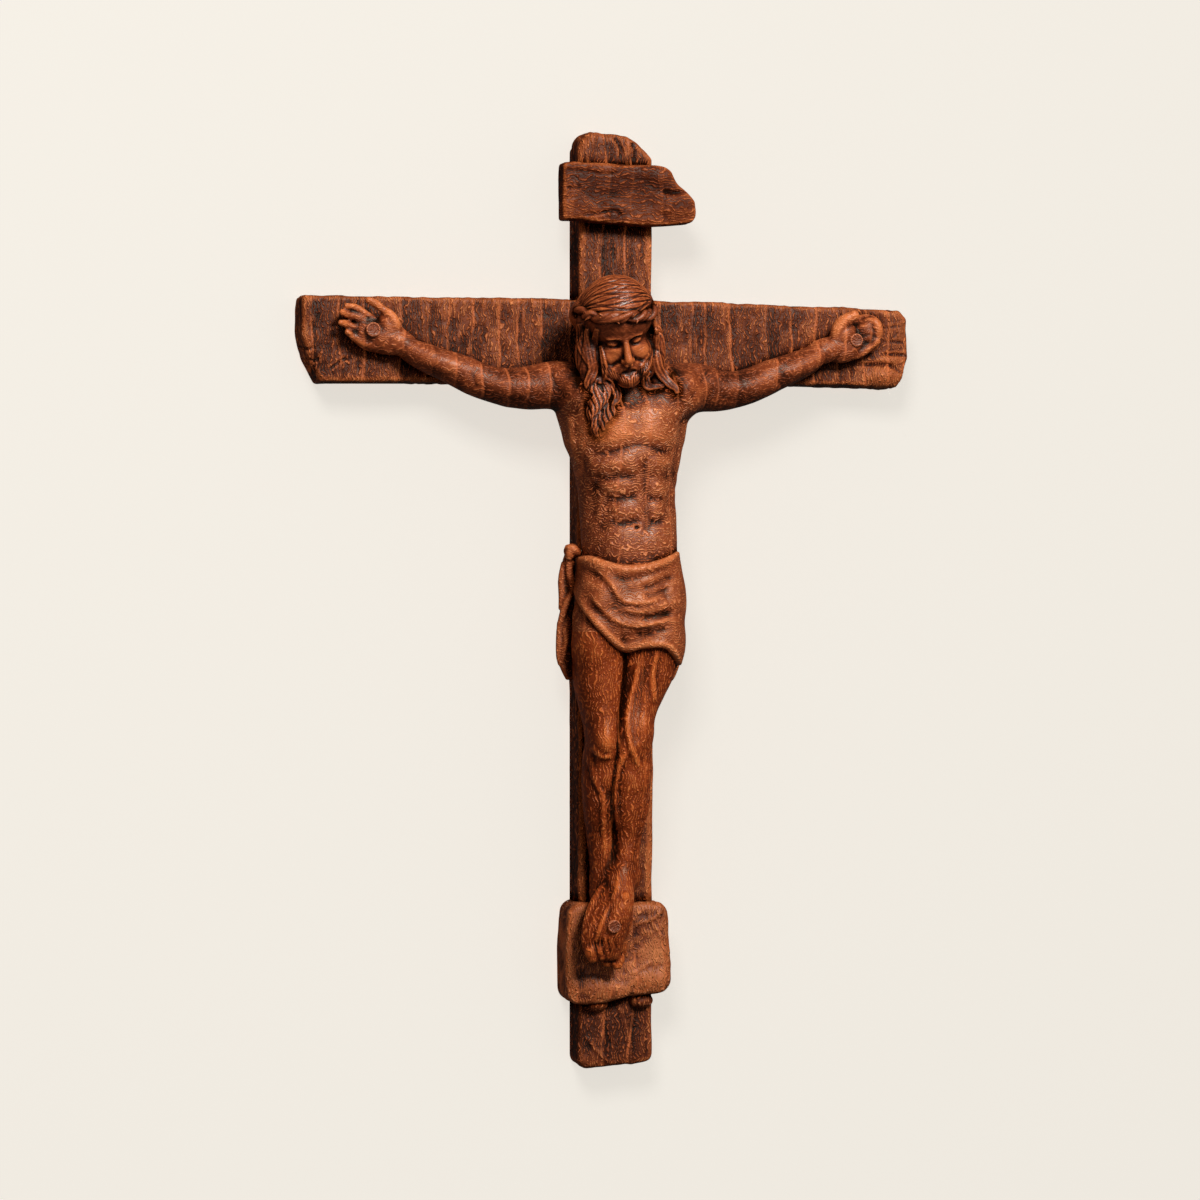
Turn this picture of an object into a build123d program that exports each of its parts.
# Carved wall crucifix, about 300 mm tall, in millimetres.
# The wall is the plane y = 0, the front looks towards -Y and +Z is up.
# The origin is the mouth of the hanging bore in the back of the upright.
# Right and left are the figure's own, so its right hand is on the viewer's left.
import os

from build123d import *

os.makedirs("parts", exist_ok=True)

# Beams of the cross
upright_length = 300.0
upright_width = 24.0
upright_above_crossing = 68.0
beam_thickness = 14.0
crossbeam_height = 26.4
crossbeam_right_reach = 100.5
crossbeam_left_reach = 97.5
edge_wear = 1.2
cut_overrun = 3.0

# Blind bore that hangs the cross on a wall pin
hanging_rise = 25.0
hanging_bore_diameter = 8.0
hanging_bore_depth = 9.0

# Name board near the top of the upright
titulus_width = 42.3
titulus_height = 18.6
titulus_thickness = 7.0
titulus_offset = 2.8
titulus_rise = 46.4
titulus_edge_wear = 1.0

# Saddle block under the feet and the two corbels below it
footrest_width = 33.4
footrest_height = 30.7
footrest_relief = 5.3
footrest_corner = 4.0
footrest_edge_wear = 2.0
corbel_width = 8.0
corbel_depth = 4.0
corbel_height = 3.4
corbel_spacing = 14.5

# Pegs that hold the wood together
lap_dowel_diameter = 6.0
lap_dowel_length = 11.0
lap_dowel_spacing = 12.0
titulus_dowel_diameter = 3.0
titulus_dowel_length = 9.0
titulus_dowel_spacing = 12.0
footrest_dowel_diameter = 4.0
footrest_dowel_length = 9.0
footrest_dowel_spacing = 12.0
figure_dowel_diameter = 4.0
figure_dowel_length = 12.0
dowel_clearance = 0.1

# Figure, carved flat at the back to lie on the beams
figure_height = 215.0
figure_rise = 18.0
chest_breadth = 41.0
chest_depth = 24.0
leg_relief = 21.0
arm_breadth = 13.0
arm_relief = 17.0
arm_rise = 15.7
shoulder_drop = 14.5
hand_inset = 20.5
finger_radius = 1.35
fingertip_radius = 1.05
toe_radius = 1.5

# Head, bowed forwards and leaning to the figure's right
head_height = 30.0
head_width = 20.0
head_depth = 24.0
head_forward = 21.5
head_aside = 4.5
head_drop = 18.5
head_bow_angle = 25.0
head_lean_angle = 9.0
hair_width = 26.0
lock_radius = 3.0
crown_radius = 1.7
thorn_length = 3.2
thorn_radius = 0.6

# Loincloth and the knotted end that hangs at the right hip
cloth_thickness = 1.5
tail_breadth = 6.4
tail_relief = 14.0

# Nails
hand_nail_head_diameter = 4.8
foot_nail_head_diameter = 4.1
nail_head_height = 1.4
nail_shank_diameter = 2.3
nail_grip = 8.0
nail_sink = 0.4

# Levels and places that follow from the sizes above
crossing_z = -hanging_rise
upright_top_z = crossing_z + upright_above_crossing
upright_bottom_z = upright_top_z - upright_length
half_upright = upright_width / 2
half_thickness = beam_thickness / 2
seat_y = -beam_thickness
seat_plane = Plane.XZ.offset(beam_thickness)
figure_top_z = crossing_z + figure_rise
shoulder_z = crossing_z - shoulder_drop
shoulder_joint_share = 0.402
shoulder_joint_x = shoulder_joint_share * chest_breadth
hip_joint_share = 0.512
hip_joint_z = figure_top_z - hip_joint_share * figure_height
foot_nail_share = 0.939
foot_nail_x_share = -0.115
foot_nail_z = figure_top_z - foot_nail_share * figure_height
foot_nail_x = foot_nail_x_share * chest_breadth
footrest_above_nail_share = 0.192
footrest_top_z = foot_nail_z + footrest_above_nail_share * footrest_height
titulus_centre_z = crossing_z + titulus_rise


# Level on the figure, as a share of its height below the crown of the head
def figure_z(height_share):
    return figure_top_z - height_share * figure_height


# Round faces on a plane, for pegs and their holes
def circles(plane, places, diameter):
    with BuildSketch(plane) as face:
        with Locations(*places):
            Circle(diameter / 2)
    return face.sketch


# Closed face through corner points on an upright plane
def outline_face(plane, corners):
    with BuildSketch(plane) as face:
        with BuildLine():
            Polyline(*corners, close=True)
        make_face()
    return face.sketch


# Half-round section at a level, flat towards the wall, as shares of its half width and depth
rim_shares = ((-0.8, 0), (-1, 0.42), (-0.62, 0.9), (0, 1), (0.62, 0.9), (1, 0.42), (0.8, 0))


def half_round(level, centre_x, half_width, back_y, front_y):
    depth = back_y - front_y
    with BuildSketch(Plane.XY.offset(level)) as section:
        with BuildLine():
            rim = Spline(*[(centre_x + x * half_width, back_y - y * depth) for x, y in rim_shares])
            Line(rim @ 1, rim @ 0)
        make_face()
    return section.sketch


# Oval sections square to the line through the points, one radius towards the front and one across
def oval_sections(points, radii):
    sections = []
    last = len(points) - 1
    for index, point in enumerate(points):
        before = Vector(points[max(index - 1, 0)])
        after = Vector(points[min(index + 1, last)])
        with BuildSketch(Plane(origin=point, x_dir=(0, -1, 0), z_dir=after - before)) as section:
            Ellipse(*radii[index])
        sections.append(section.sketch)
    return sections


# Egg shape with three radii, set in a frame of its own
def egg(frame, centre, radii):
    ball = scale(Sphere(1, mode=Mode.PRIVATE), by=radii, mode=Mode.PRIVATE)
    return frame.location * Pos(*centre) * ball


# Beam outlines: x as a share of the half width or reach, z as a share of the width or height
upright_top_shares = ((-1, -0.23), (-0.71, 0), (0.25, -0.04), (0.62, -0.146), (1, -0.375))
upright_bottom_shares = ((1, 0.06), (-1, 0))
crossbeam_shares = (
    (-1, 0.51), (0.975, 0.47), (1, 0.38), (1, -0.1), (0.985, -0.3), (0.96, -0.47),
    (-0.945, -0.51), (-0.985, -0.22), (-1, 0.03),
)


def upright_corners():
    top = [(x * half_upright, upright_top_z + z * upright_width) for x, z in upright_top_shares]
    bottom = [(x * half_upright, upright_bottom_z + z * upright_width) for x, z in upright_bottom_shares]
    return top + bottom


def crossbeam_corners():
    corners = []
    for x, z in crossbeam_shares:
        reach = crossbeam_right_reach if x < 0 else crossbeam_left_reach
        corners.append((x * reach, crossing_z + z * crossbeam_height))
    return corners


lap_places = [
    (-lap_dowel_spacing / 2, crossing_z + lap_dowel_spacing / 2),
    (lap_dowel_spacing / 2, crossing_z - lap_dowel_spacing / 2),
]
titulus_places = [(x * titulus_dowel_spacing / 2, titulus_centre_z) for x in (-1, 1)]
footrest_dowel_z = footrest_top_z - footrest_height / 2
footrest_places = [(x * footrest_dowel_spacing / 2, footrest_dowel_z) for x in (-1, 1)]
trunk_peg_shares = (0.25, 0.44)
trunk_places = [(0, figure_z(share)) for share in trunk_peg_shares]

lap_plane = Plane.XZ
titulus_plane = seat_plane.offset(-titulus_dowel_length / 2)
footrest_plane = seat_plane.offset(-footrest_dowel_length + footrest_relief / 2)
trunk_plane = seat_plane.offset(-figure_dowel_length / 2)
lap_hole = lap_dowel_diameter + 2 * dowel_clearance
lap_hole_depth = lap_dowel_length + dowel_clearance
titulus_hole = titulus_dowel_diameter + 2 * dowel_clearance
footrest_hole = footrest_dowel_diameter + 2 * dowel_clearance
figure_hole = figure_dowel_diameter + 2 * dowel_clearance

# Hand and foot nails: a shank driven into the wood under a low domed head
right_nail_x = hand_inset - crossbeam_right_reach
left_nail_x = crossbeam_left_reach - hand_inset
hand_nail_z = shoulder_z + arm_rise
palm_share = 0.41
palm_y = seat_y - palm_share * arm_relief
foot_front_share = 0.98
foot_front_y = seat_y - foot_front_share * leg_relief
nail_tip_y = seat_y + nail_grip


def nail_profile(axis_x, axis_z, head_y, head_diameter, tip_y):
    with BuildSketch(Plane.YZ.offset(axis_x)) as profile:
        with BuildLine():
            Polyline(
                (head_y - nail_head_height, axis_z),
                (head_y - nail_head_height, axis_z + head_diameter / 4),
                (head_y - nail_head_height / 2, axis_z + head_diameter / 2),
                (head_y, axis_z + head_diameter / 2),
                (head_y, axis_z + nail_shank_diameter / 2),
                (tip_y - nail_shank_diameter, axis_z + nail_shank_diameter / 2),
                (tip_y, axis_z),
                close=True,
            )
        make_face()
    return profile.sketch


with BuildPart() as hand_nails:
    for nail_x in (right_nail_x, left_nail_x):
        revolve(
            nail_profile(nail_x, hand_nail_z, palm_y + nail_sink, hand_nail_head_diameter, nail_tip_y),
            axis=Axis((nail_x, 0, hand_nail_z), (0, 1, 0)),
        )
hand_nails.part.label = "hand_nails"
export_step(hand_nails.part, "parts/hand_nails.step")

with BuildPart() as foot_nail:
    revolve(
        nail_profile(foot_nail_x, foot_nail_z, foot_front_y + nail_sink, foot_nail_head_diameter, nail_tip_y),
        axis=Axis((foot_nail_x, 0, foot_nail_z), (0, 1, 0)),
    )
foot_nail.part.label = "foot_nail"
export_step(foot_nail.part, "parts/foot_nail.step")

# Crossbeam, worn along its edges, square and halved from behind where it crosses the upright
with BuildPart() as crossbeam:
    extrude(outline_face(Plane.XZ, crossbeam_corners()), amount=beam_thickness)
    worn_faces = crossbeam.faces().filter_by(Axis.Y)
    fillet(worn_faces.edges(), edge_wear)
    with BuildSketch(Plane.XZ):
        add(outline_face(Plane.XY, crossbeam_corners()))
        with Locations((0, crossing_z)):
            Rectangle(upright_width, crossbeam_height + cut_overrun, mode=Mode.INTERSECT)
    extrude(amount=beam_thickness)
    with BuildSketch(Plane.XZ):
        with Locations((0, crossing_z)):
            Rectangle(upright_width, crossbeam_height + cut_overrun)
    extrude(amount=half_thickness, mode=Mode.SUBTRACT)
    extrude(circles(lap_plane, lap_places, lap_hole), amount=lap_hole_depth, mode=Mode.SUBTRACT)
    add(hand_nails.part, mode=Mode.SUBTRACT)
crossbeam.part.label = "crossbeam"
export_step(crossbeam.part, "parts/crossbeam.step")

# Upright, halved in front for the crossbeam, with the blind hanging bore in its back
with BuildPart() as upright:
    extrude(outline_face(Plane.XZ, upright_corners()), amount=beam_thickness)
    fillet(upright.edges().filter_by(Axis.Y).sort_by(Axis.Z)[:2], upright_width / 8)
    fillet(upright.faces().filter_by(Axis.Y).edges(), edge_wear)
    add(crossbeam.part, mode=Mode.SUBTRACT)
    extrude(circles(Plane.XZ, [(0, 0)], hanging_bore_diameter), amount=hanging_bore_depth, mode=Mode.SUBTRACT)
    extrude(circles(lap_plane, lap_places, lap_hole), amount=lap_hole_depth, mode=Mode.SUBTRACT)
    extrude(circles(titulus_plane.offset(-dowel_clearance), titulus_places, titulus_hole),
            amount=titulus_dowel_length, mode=Mode.SUBTRACT)
    extrude(circles(footrest_plane.offset(-dowel_clearance), footrest_places, footrest_hole),
            amount=footrest_dowel_length, mode=Mode.SUBTRACT)
    extrude(circles(trunk_plane.offset(-dowel_clearance), trunk_places, figure_hole),
            amount=figure_dowel_length, mode=Mode.SUBTRACT)
    add(foot_nail.part, mode=Mode.SUBTRACT)
upright.part.label = "upright"
export_step(upright.part, "parts/upright.step")

with BuildPart() as lap_dowels:
    extrude(circles(lap_plane, lap_places, lap_dowel_diameter), amount=lap_dowel_length)
lap_dowels.part.label = "lap_dowels"
export_step(lap_dowels.part, "parts/lap_dowels.step")

# Name board with one straight end and one broken end, left bare
titulus_shares = (
    (-0.5, 0.5), (0.3, 0.41), (0.37, 0.21), (0.45, 0), (0.5, -0.22), (0.5, -0.44),
    (0.1, -0.5), (-0.49, -0.47),
)
with BuildPart() as titulus:
    titulus_corners = [
        (titulus_offset + x * titulus_width, titulus_centre_z + z * titulus_height) for x, z in titulus_shares
    ]
    extrude(outline_face(seat_plane, titulus_corners), amount=titulus_thickness)
    fillet(titulus.faces().sort_by(Axis.Y)[0].edges(), titulus_edge_wear)
    extrude(circles(titulus_plane, titulus_places, titulus_hole),
            amount=titulus_dowel_length + dowel_clearance, mode=Mode.SUBTRACT)
titulus.part.label = "titulus"
export_step(titulus.part, "parts/titulus.step")

with BuildPart() as titulus_dowels:
    extrude(circles(titulus_plane, titulus_places, titulus_dowel_diameter), amount=titulus_dowel_length)
titulus_dowels.part.label = "titulus_dowels"
export_step(titulus_dowels.part, "parts/titulus_dowels.step")

# Footrest, a block that straddles the upright, a little wider at the bottom
footrest_shares = ((-0.465, 0), (0.465, 0), (0.5, -0.5), (0.5, -0.98), (-0.49, -1), (-0.5, -0.5))
footrest_corners = [
    (x * footrest_width, footrest_top_z + z * footrest_height) for x, z in footrest_shares
]
footrest_thickness = beam_thickness + footrest_relief
with BuildPart() as footrest:
    extrude(outline_face(Plane.XZ, footrest_corners), amount=footrest_thickness)
    fillet(footrest.edges().filter_by(Axis.Y), footrest_corner)
    fillet(footrest.faces().sort_by(Axis.Y)[0].edges(), footrest_edge_wear)
    with BuildSketch(Plane.XZ):
        with Locations((0, footrest_dowel_z)):
            Rectangle(upright_width, footrest_height + cut_overrun)
    extrude(amount=beam_thickness, mode=Mode.SUBTRACT)
    extrude(circles(footrest_plane, footrest_places, footrest_hole),
            amount=footrest_dowel_length + dowel_clearance, mode=Mode.SUBTRACT)
    add(foot_nail.part, mode=Mode.SUBTRACT)
footrest.part.label = "footrest"
export_step(footrest.part, "parts/footrest.step")

with BuildPart() as footrest_dowels:
    extrude(circles(footrest_plane, footrest_places, footrest_dowel_diameter), amount=footrest_dowel_length)
footrest_dowels.part.label = "footrest_dowels"
export_step(footrest_dowels.part, "parts/footrest_dowels.step")

# Two rounded lumps under the footrest, against the front of the upright
with BuildPart() as footrest_corbels:
    with BuildSketch(seat_plane):
        with Locations((0, footrest_top_z - footrest_height - corbel_height / 2)):
            with GridLocations(corbel_spacing, 0, 2, 1):
                Rectangle(corbel_width, corbel_height)
    extrude(amount=corbel_depth)
    add(footrest.part, mode=Mode.SUBTRACT)
    lower_edges = footrest_corbels.edges().filter_by(Axis.X).group_by(Axis.Z)[0]
    fillet(lower_edges.sort_by(Axis.Y)[:2], corbel_height / 2)
footrest_corbels.part.label = "footrest_corbels"
export_step(footrest_corbels.part, "parts/footrest_corbels.step")

# Trunk, lofted from the neck to the hips: height, half width and depth shares of the figure
trunk_shares = (
    (0.121, 0.29, 0.5), (0.149, 0.46, 0.75), (0.195, 0.488, 0.96), (0.223, 0.5, 1), (0.251, 0.476, 1),
    (0.284, 0.44, 0.94), (0.316, 0.415, 0.875), (0.358, 0.415, 0.854), (0.409, 0.427, 0.875),
    (0.474, 0.451, 0.896), (hip_joint_share, 0.44, 0.854),
)
shoulder_ledge_share = 0.6
shoulder_ledge_z = shoulder_z - shoulder_ledge_share * arm_breadth
joint_depth_share = 0.45
shoulder_peg_y = seat_y - joint_depth_share * arm_relief
neck_peg_y = seat_y - joint_depth_share * chest_depth / 2
hip_peg_share = 0.21
hip_peg_y = seat_y - joint_depth_share * leg_relief
shoulder_places = [(shoulder_peg_y, shoulder_z)]
hip_places = [(x * hip_peg_share * chest_breadth, hip_peg_y) for x in (-1, 1)]
neck_joint_share = trunk_shares[0][0]
neck_places = [(0, neck_peg_y)]
right_shoulder_plane = Plane.YZ.offset(-shoulder_joint_x - figure_dowel_length / 2)
left_shoulder_plane = Plane.YZ.offset(shoulder_joint_x - figure_dowel_length / 2)
hip_plane = Plane.XY.offset(hip_joint_z - figure_dowel_length / 2)
neck_plane = Plane.XY.offset(figure_z(neck_joint_share) - figure_dowel_length / 2)


# Holes for every peg of the figure, long enough to clear both ends of the pegs
def figure_peg_holes():
    holes = []
    for plane, places in (
        (trunk_plane, trunk_places), (right_shoulder_plane, shoulder_places),
        (left_shoulder_plane, shoulder_places), (hip_plane, hip_places), (neck_plane, neck_places),
    ):
        holes.append(circles(plane.offset(-dowel_clearance), places, figure_hole))
    return holes


figure_hole_depth = figure_dowel_length + 2 * dowel_clearance

with BuildPart() as figure_holes:
    for hole in figure_peg_holes():
        extrude(hole, amount=figure_hole_depth)

with BuildPart() as trunk:
    loft([
        half_round(figure_z(height), 0, width * chest_breadth, seat_y, seat_y - depth * chest_depth)
        for height, width, depth in trunk_shares
    ])
    for side in (-1, 1):
        with BuildSketch(Plane.XY.offset(shoulder_ledge_z)):
            with Locations((side * (shoulder_joint_x + chest_breadth / 2), seat_y - chest_depth / 2)):
                Rectangle(chest_breadth, chest_depth + cut_overrun)
        extrude(amount=chest_breadth, mode=Mode.SUBTRACT)
    add(figure_holes.part, mode=Mode.SUBTRACT)
trunk.part.label = "trunk"
export_step(trunk.part, "parts/trunk.step")

# Arm from the shoulder joint to the palm: reach, rise, half height and depth shares
arm_shares = (
    (0, 0, 0.55, 1), (0.072, 0, 0.565, 0.97), (0.262, -0.08, 0.49, 0.82), (0.436, 0.04, 0.425, 0.735),
    (0.531, 0.2, 0.41, 0.705), (0.665, 0.41, 0.354, 0.647), (0.784, 0.615, 0.3, 0.56),
    (0.876, 0.776, 0.27, 0.5), (0.927, 0.863, 0.32, 0.47), (1, 1, 0.415, palm_share),
    (1.063, 1.124, 0.4, 0.35),
)
# Fingers from base to tip: reach and rise shares of each end
finger_shares = (
    ((1.035, 1.335), (1.149, 1.497)), ((1.054, 1.21), (1.165, 1.329)), ((1.063, 1.08), (1.178, 1.137)),
    ((1.054, 0.944), (1.136, 0.975)), ((0.919, 1.149), (1.025, 1.59)),
)
oval_back_share = 0.45
oval_front_share = 0.55
finger_depth_share = 0.28
fingertip_depth_share = 0.35


def arm_point(nail_x, reach_share, rise_share, depth):
    joint_x = shoulder_joint_x if nail_x > 0 else -shoulder_joint_x
    return joint_x + reach_share * (nail_x - joint_x), seat_y - depth, shoulder_z + rise_share * arm_rise


def arm_sections(nail_x):
    points = []
    radii = []
    for reach, rise, height, depth in arm_shares:
        points.append(arm_point(nail_x, reach, rise, oval_back_share * depth * arm_relief))
        radii.append((oval_front_share * depth * arm_relief, height * arm_breadth))
    return oval_sections(points, radii)


def finger_sections(nail_x, base, tip):
    points = [
        arm_point(nail_x, *base, finger_depth_share * arm_relief),
        arm_point(nail_x, *tip, fingertip_depth_share * arm_relief),
    ]
    return oval_sections(points, [(finger_radius, finger_radius), (fingertip_radius, fingertip_radius)])


with BuildPart() as right_arm:
    loft(arm_sections(right_nail_x))
    for finger in finger_shares:
        loft(finger_sections(right_nail_x, *finger))
        with Locations(arm_point(right_nail_x, *finger[1], fingertip_depth_share * arm_relief)):
            Sphere(fingertip_radius)
    split(bisect_by=seat_plane, keep=Keep.TOP)
    add(trunk.part, mode=Mode.SUBTRACT)
    add(figure_holes.part, mode=Mode.SUBTRACT)
    add(hand_nails.part, mode=Mode.SUBTRACT)
right_arm.part.label = "right_arm"
export_step(right_arm.part, "parts/right_arm.step")

with BuildPart() as left_arm:
    loft(arm_sections(left_nail_x))
    for finger in finger_shares:
        loft(finger_sections(left_nail_x, *finger))
        with Locations(arm_point(left_nail_x, *finger[1], fingertip_depth_share * arm_relief)):
            Sphere(fingertip_radius)
    split(bisect_by=seat_plane, keep=Keep.TOP)
    add(trunk.part, mode=Mode.SUBTRACT)
    add(figure_holes.part, mode=Mode.SUBTRACT)
    add(hand_nails.part, mode=Mode.SUBTRACT)
left_arm.part.label = "left_arm"
export_step(left_arm.part, "parts/left_arm.step")

# Legs from the hip joint to the knee and on to the toes: height, centre, half width, front and back shares
left_thigh_shares = (
    (hip_joint_share, 0.21, 0.22, 0.976, 0), (0.575, 0.2, 0.19, 0.95, 0), (0.63, 0.13, 0.14, 0.96, 0),
    (0.679, 0.085, 0.129, 1.03, 0),
)
left_shank_shares = (
    left_thigh_shares[-1], (0.74, 0.068, 0.151, 0.81, 0), (0.805, 0.054, 0.107, 0.69, 0),
    (0.85, 0.01, 0.09, 0.72, 0.1),
)
left_foot_shares = (
    left_shank_shares[-1], (0.885, -0.04, 0.095, 0.88, 0.4), (0.912, -0.063, 0.102, 1, 0.6),
    (foot_nail_share, -0.11, 0.112, foot_front_share, 0.62), (0.967, -0.146, 0.117, 0.86, 0.62),
    (0.986, -0.161, 0.112, 0.76, 0.56),
)
right_thigh_shares = (
    (hip_joint_share, -0.224, 0.22, 0.976, 0), (0.575, -0.217, 0.207, 0.93, 0), (0.63, -0.2, 0.18, 0.91, 0),
    (0.679, -0.198, 0.134, 1, 0),
)
right_shank_shares = (
    right_thigh_shares[-1], (0.74, -0.22, 0.122, 0.714, 0), (0.805, -0.168, 0.095, 0.571, 0),
    (0.872, -0.149, 0.078, 0.476, 0), (0.912, -0.132, 0.098, 0.571, 0),
    (foot_nail_share, -0.11, 0.11, 0.62, 0), (0.967, -0.073, 0.112, 0.62, 0), (0.986, -0.049, 0.102, 0.524, 0),
)
toe_count = 5
toe_level_share = 0.988
toe_depth_share = 0.66
toe_row_shares = (-0.25, -0.075)
rear_toe_shares = (-0.01, 0.99, 0.42)


def leg_sections(leg_shares):
    return [
        half_round(figure_z(height), centre * chest_breadth, width * chest_breadth,
                   seat_y - back * leg_relief, seat_y - front * leg_relief)
        for height, centre, width, front, back in leg_shares
    ]


with BuildPart() as left_leg:
    loft(leg_sections(left_thigh_shares))
    loft(leg_sections(left_shank_shares))
    loft(leg_sections(left_foot_shares))
    for toe in range(toe_count):
        along = toe / (toe_count - 1)
        toe_x = (toe_row_shares[0] + along * (toe_row_shares[1] - toe_row_shares[0])) * chest_breadth
        with Locations((toe_x, seat_y - toe_depth_share * leg_relief, figure_z(toe_level_share))):
            Sphere(toe_radius)
    split(bisect_by=seat_plane, keep=Keep.TOP)
    extrude(outline_face(Plane.XZ, footrest_corners), amount=footrest_thickness, mode=Mode.SUBTRACT)
    add(figure_holes.part, mode=Mode.SUBTRACT)
    add(foot_nail.part, mode=Mode.SUBTRACT)
left_leg.part.label = "left_leg"
export_step(left_leg.part, "parts/left_leg.step")

with BuildPart() as right_leg:
    loft(leg_sections(right_thigh_shares))
    loft(leg_sections(right_shank_shares))
    toe_x_share, toe_z_share, toe_y_share = rear_toe_shares
    with Locations((toe_x_share * chest_breadth, seat_y - toe_y_share * leg_relief, figure_z(toe_z_share))):
        Sphere(toe_radius)
    split(bisect_by=seat_plane, keep=Keep.TOP)
    extrude(outline_face(Plane.XZ, footrest_corners), amount=footrest_thickness, mode=Mode.SUBTRACT)
    add(left_leg.part, mode=Mode.SUBTRACT)
    add(figure_holes.part, mode=Mode.SUBTRACT)
    add(foot_nail.part, mode=Mode.SUBTRACT)
right_leg.part.label = "right_leg"
export_step(right_leg.part, "parts/right_leg.step")

# Head in a frame of its own, tilted as it hangs: cranium, face, nose and beard as one form
head_centre = (-head_aside, seat_y - head_forward, figure_top_z - head_drop)
head_frame = Plane(Location(head_centre, (head_bow_angle, -head_lean_angle, 0)))
half_head = head_height / 2
half_face = head_width / 2
half_depth = head_depth / 2
half_hair = hair_width / 2
cranium_shares = ((0, 0.12, 0.28), (1, 1, 0.72))
face_shares = ((0, -0.12, -0.25), (0.84, 0.82, 0.72))
beard_shares = ((0, -0.52, -0.72), (0.6, 0.42, 0.38))
nose_shares = ((0, -0.94, -0.12), (0.14, 0.16, 0.24))
hair_cap_shares = ((0, 0.3, 0.24), (1, 0.82, 0.78))
# Hair behind the head, down to the shoulders: height, half width and front shares
hair_back_shares = (
    (0.014, 0.5, 0.5), (0.045, 0.95, 0.86), (0.09, 1, 0.86), (0.135, 0.92, 0.7), (0.172, 0.66, 0.5),
)
# Locks that fall over the shoulders: width, height and depth shares at each point, then thickness
right_lock_shares = (
    (-0.41, 0.06, 0.75, 0.9), (-0.342, 0.119, 0.83, 1.1), (-0.23, 0.17, 0.875, 1.1),
    (-0.205, 0.22, 0.94, 0.6),
)
left_lock_shares = ((0.43, 0.06, 0.8, 0.8), (0.465, 0.119, 0.86, 0.9), (0.55, 0.166, 0.88, 0.5))


def head_egg(shares):
    centre, radii = shares
    return egg(
        head_frame,
        (centre[0] * half_face, centre[1] * half_depth, centre[2] * half_head),
        (radii[0] * half_face, radii[1] * half_depth, radii[2] * half_head),
    )


def hair_cap():
    centre, radii = hair_cap_shares
    return egg(
        head_frame,
        (centre[0] * half_face, centre[1] * half_depth, centre[2] * half_head),
        (radii[0] * half_hair, radii[1] * head_depth / 2, radii[2] * half_head),
    )


def lock_sections(lock_shares):
    points = []
    radii = []
    for across, height, depth, size in lock_shares:
        points.append((across * hair_width - head_aside, seat_y - depth * chest_depth, figure_z(height)))
        radii.append((size * lock_radius, size * lock_radius))
    return oval_sections(points, radii)


with BuildPart() as head:
    add(head_egg(cranium_shares))
    add(head_egg(face_shares))
    add(head_egg(beard_shares))
    add(head_egg(nose_shares))
    add(hair_cap())
    loft([
        half_round(figure_z(height), -head_aside, width * half_hair, seat_y, seat_y - front * head_forward)
        for height, width, front in hair_back_shares
    ])
    loft(lock_sections(right_lock_shares))
    loft(lock_sections(left_lock_shares))
    split(bisect_by=seat_plane, keep=Keep.TOP)
    add(trunk.part, mode=Mode.SUBTRACT)
    add(right_arm.part, mode=Mode.SUBTRACT)
    add(left_arm.part, mode=Mode.SUBTRACT)
    add(figure_holes.part, mode=Mode.SUBTRACT)
head.part.label = "head"
export_step(head.part, "parts/head.step")

# Crown of thorns: an open ring pressed on the hair at the brow, with thorns around it
crown_shares = (0.08, 0.25)
crown_girth_share = 0.94
crown_reach = crown_girth_share * half_hair
crown_plane = Plane(
    head_frame.offset(crown_shares[1] * half_head).location * Pos(0, crown_shares[0] * half_depth, 0)
)
crown_start_angle = -190
crown_arc_angle = 200
thorn_angles = (-170, -148, -126, -104, -82, -60, -38, -16)
thorn_tip_share = 0.15
thorn_slant_share = 0.6


def thorn_place(number, angle):
    outward = Vector(1, 0, 0).rotate(Axis.Z, angle)
    slant = thorn_slant_share if number % 2 else -thorn_slant_share
    seat = Plane(origin=outward * crown_reach, z_dir=outward + Vector(0, 0, slant))
    return crown_plane.location * seat.location


with BuildPart() as crown_of_thorns:
    crown_axis = Axis(crown_plane.origin, crown_plane.z_dir)
    crown_start = crown_plane.x_dir.rotate(Axis((0, 0, 0), crown_plane.z_dir), crown_start_angle)
    with BuildSketch(Plane(crown_plane.origin, crown_start, crown_start.cross(crown_plane.z_dir))):
        with Locations((crown_reach, 0)):
            Circle(crown_radius)
    revolve(axis=crown_axis, revolution_arc=crown_arc_angle)
    for number, angle in enumerate(thorn_angles):
        with Locations(thorn_place(number, angle)):
            Cone(thorn_radius, thorn_tip_share * thorn_radius, crown_radius + thorn_length,
                 align=(Align.CENTER, Align.CENTER, Align.MIN))
    add(head.part, mode=Mode.SUBTRACT)
crown_of_thorns.part.label = "crown_of_thorns"
export_step(crown_of_thorns.part, "parts/crown_of_thorns.step")

# Loincloth: a shell round the hips and thighs, trimmed by its rolled top and its slanting hem
cloth_shares = (
    (0.37, 0.42, 0.86), (0.409, 0.43, 0.88), (0.474, 0.456, 0.9), (0.535, 0.46, 0.9), (0.605, 0.43, 0.885),
)
cloth_top_shares = ((-0.7, 0.385), (-0.3, 0.405), (0, 0.428), (0.3, 0.42), (0.7, 0.395))
cloth_hem_shares = ((0.7, 0.585), (0.3, 0.56), (0, 0.537), (-0.3, 0.495), (-0.7, 0.46))
# Hanging end: height, centre, half width and front shares
tail_shares = (
    (0.385, -0.43, 0.36, 0.8), (0.44, -0.45, 0.4, 0.95), (0.51, -0.455, 0.5, 1), (0.572, -0.445, 0.4, 0.8),
)


def cloth_point(share):
    return share[0] * chest_breadth, figure_z(share[1])


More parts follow.
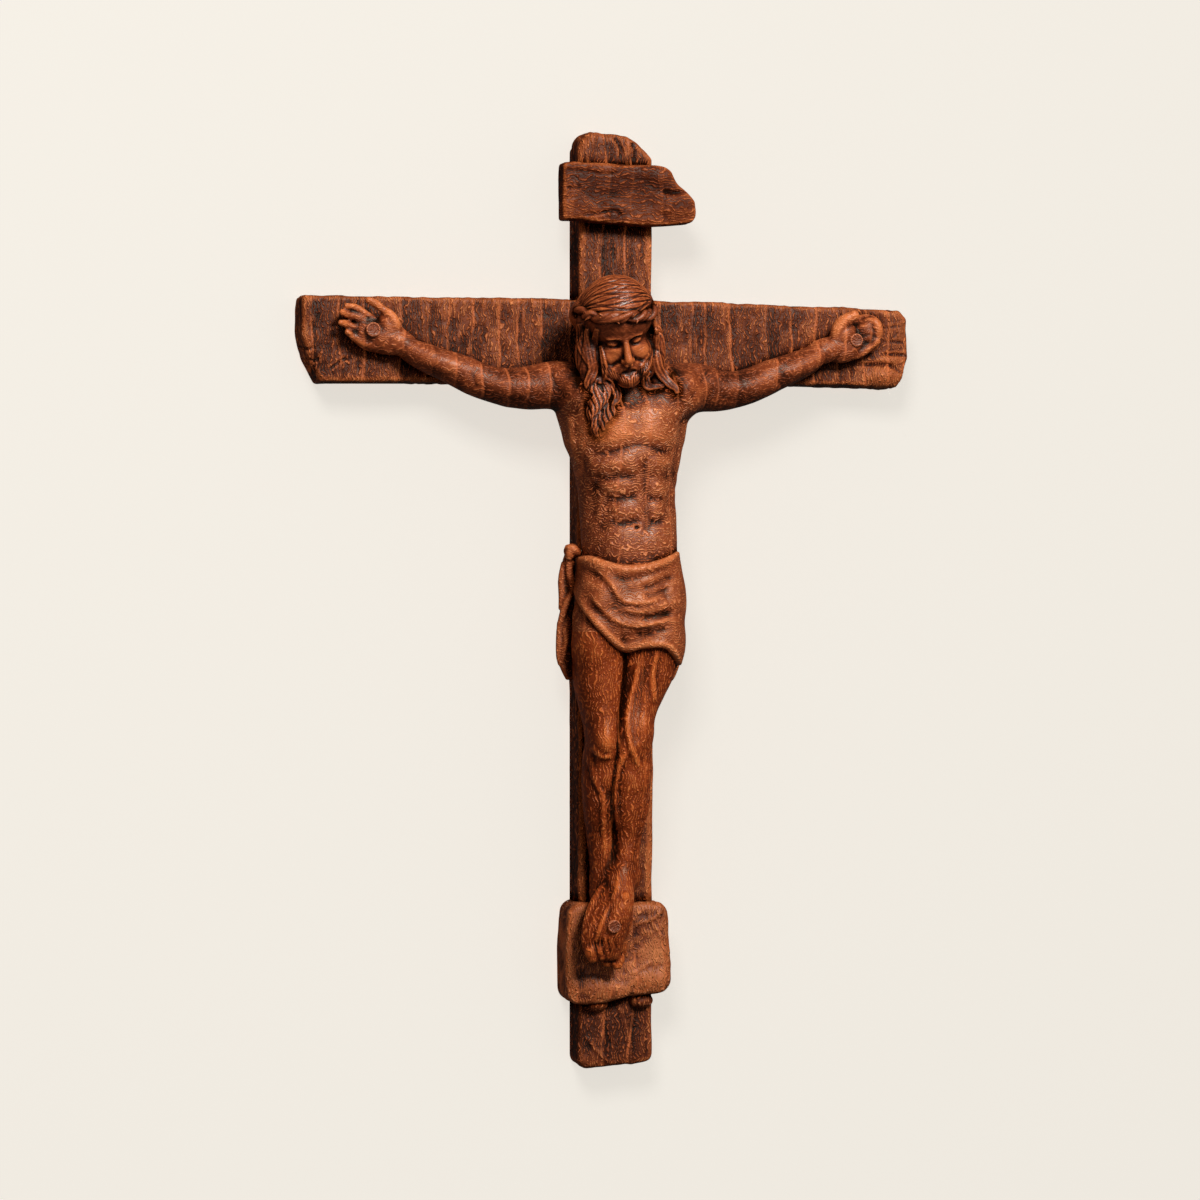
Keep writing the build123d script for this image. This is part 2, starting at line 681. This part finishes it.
with BuildPart() as loincloth:
    loft([
        half_round(figure_z(height), 0, width * chest_breadth + cloth_thickness,
                   seat_y, seat_y - depth * chest_depth - cloth_thickness)
        for height, width, depth in cloth_shares
    ])
    with BuildSketch(seat_plane):
        with BuildLine():
            top = Spline(*[cloth_point(share) for share in cloth_top_shares])
            hem = Spline(*[cloth_point(share) for share in cloth_hem_shares])
            Line(top @ 1, hem @ 0)
            Line(hem @ 1, top @ 0)
        make_face()
    extrude(amount=chest_depth + chest_breadth, mode=Mode.INTERSECT)
    add(trunk.part, mode=Mode.SUBTRACT)
    add(left_leg.part, mode=Mode.SUBTRACT)
    add(right_leg.part, mode=Mode.SUBTRACT)
    add(figure_holes.part, mode=Mode.SUBTRACT)
loincloth.part.label = "loincloth"
export_step(loincloth.part, "parts/loincloth.step")

with BuildPart() as loincloth_tail:
    loft([
        half_round(figure_z(height), centre * chest_breadth, width * tail_breadth,
                   seat_y, seat_y - front * tail_relief)
        for height, centre, width, front in tail_shares
    ])
    add(trunk.part, mode=Mode.SUBTRACT)
    add(loincloth.part, mode=Mode.SUBTRACT)
    add(right_leg.part, mode=Mode.SUBTRACT)
loincloth_tail.part.label = "loincloth_tail"
export_step(loincloth_tail.part, "parts/loincloth_tail.step")

# Pegs inside the figure
with BuildPart() as trunk_dowels:
    extrude(circles(trunk_plane, trunk_places, figure_dowel_diameter), amount=figure_dowel_length)
trunk_dowels.part.label = "trunk_dowels"
export_step(trunk_dowels.part, "parts/trunk_dowels.step")

with BuildPart() as shoulder_dowels:
    extrude(circles(right_shoulder_plane, shoulder_places, figure_dowel_diameter), amount=figure_dowel_length)
    extrude(circles(left_shoulder_plane, shoulder_places, figure_dowel_diameter), amount=figure_dowel_length)
shoulder_dowels.part.label = "shoulder_dowels"
export_step(shoulder_dowels.part, "parts/shoulder_dowels.step")

with BuildPart() as hip_dowels:
    extrude(circles(hip_plane, hip_places, figure_dowel_diameter), amount=figure_dowel_length)
hip_dowels.part.label = "hip_dowels"
export_step(hip_dowels.part, "parts/hip_dowels.step")

with BuildPart() as neck_dowel:
    extrude(circles(neck_plane, neck_places, figure_dowel_diameter), amount=figure_dowel_length)
neck_dowel.part.label = "neck_dowel"
export_step(neck_dowel.part, "parts/neck_dowel.step")
